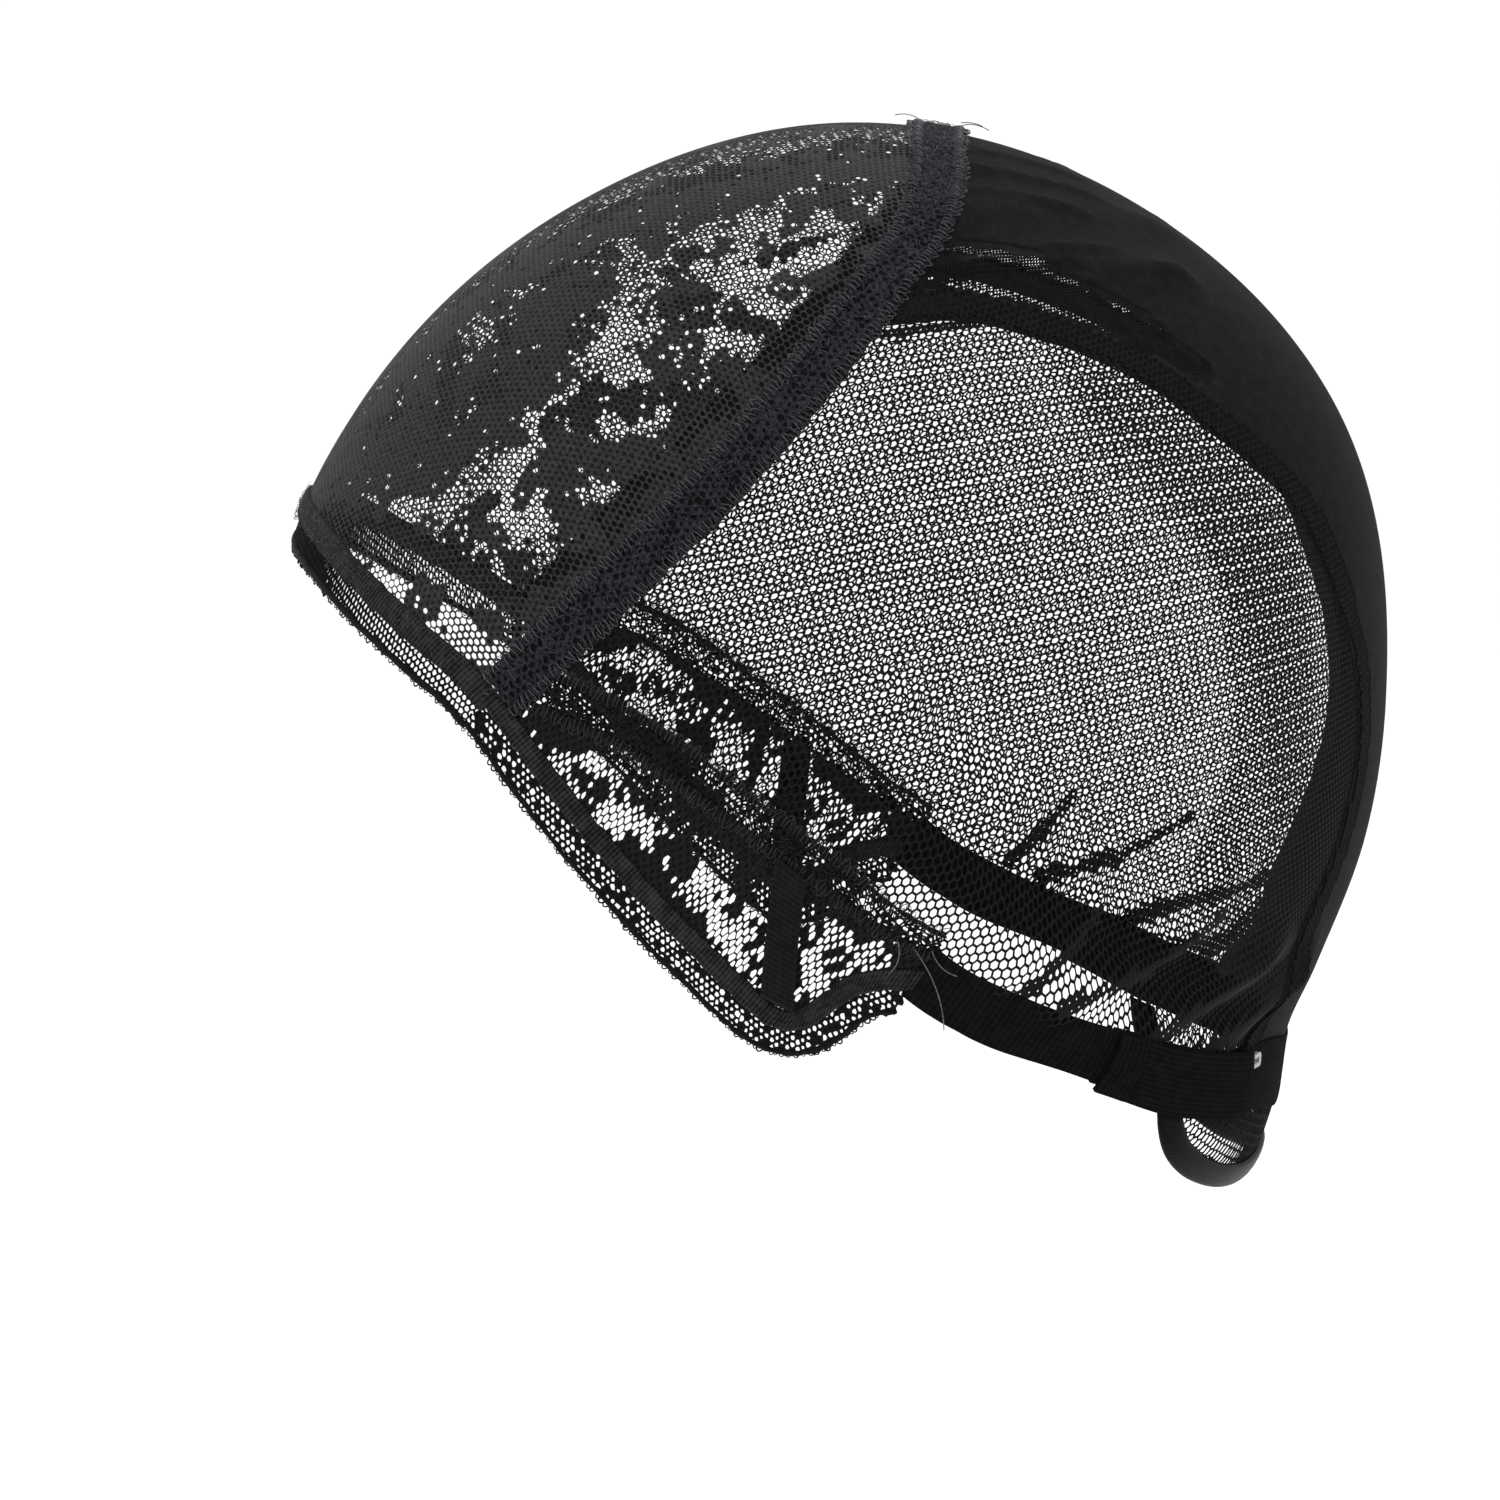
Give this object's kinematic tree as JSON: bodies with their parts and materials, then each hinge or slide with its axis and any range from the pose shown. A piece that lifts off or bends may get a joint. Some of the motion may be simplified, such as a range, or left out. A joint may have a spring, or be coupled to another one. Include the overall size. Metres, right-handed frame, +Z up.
{
  "type": "wig cap",
  "caption": "Full lace and net wig cap in its worn form, with a lace front, crown band, knit back, ear tabs and an adjustable nape elastic.",
  "frame": {"origin": "top of the inside of the crown, in the middle plane, where the cap sits on a head", "axes": "+X to the wearer's left, +Y to the back of the head, +Z up out of the crown; the face side is -Y"},
  "size_m": [0.1564, 0.1884, 0.18],
  "materials": {
    "net": "matt knotted polyester net",
    "lace": "matt floral warp-knitted lace",
    "knit": "fine stretch knit with a slight sheen",
    "tape": "matt woven tape",
    "crown_band": "brushed elastic lace band",
    "elastic": "matt knitted elastic",
    "binding": "smooth satin binding",
    "hook": "clear moulded plastic"
  },
  "bodies": {
    "root": {"front_binding_tape": "tape", "front_hem_net": "net", "lace_front_panel": "lace", "crown_band": "crown_band", "side_net_left": "net", "side_net_right": "net", "net_edge_strip_left": "net", "net_edge_strip_right": "net", "back_panel": "knit", "ear_tab_binding_left": "tape", "ear_tab_binding_right": "tape", "ear_tab_hem_left": "net", "ear_tab_hem_right": "net", "ear_tab_band_left": "lace", "ear_tab_band_right": "lace", "ear_tab_lace_left": "lace", "ear_tab_lace_right": "lace", "ear_tab_stay_left": "tape", "ear_tab_stay_right": "tape", "strap_casing_left": "elastic", "strap_casing_right": "elastic", "nape_strap_left": "elastic", "nape_strap_right": "elastic", "nape_tape": "elastic", "strap_hook_left": "hook", "strap_hook_right": "hook", "nape_tab_binding": "binding", "nape_tab_net": "net"}
  },
  "joints": []
}
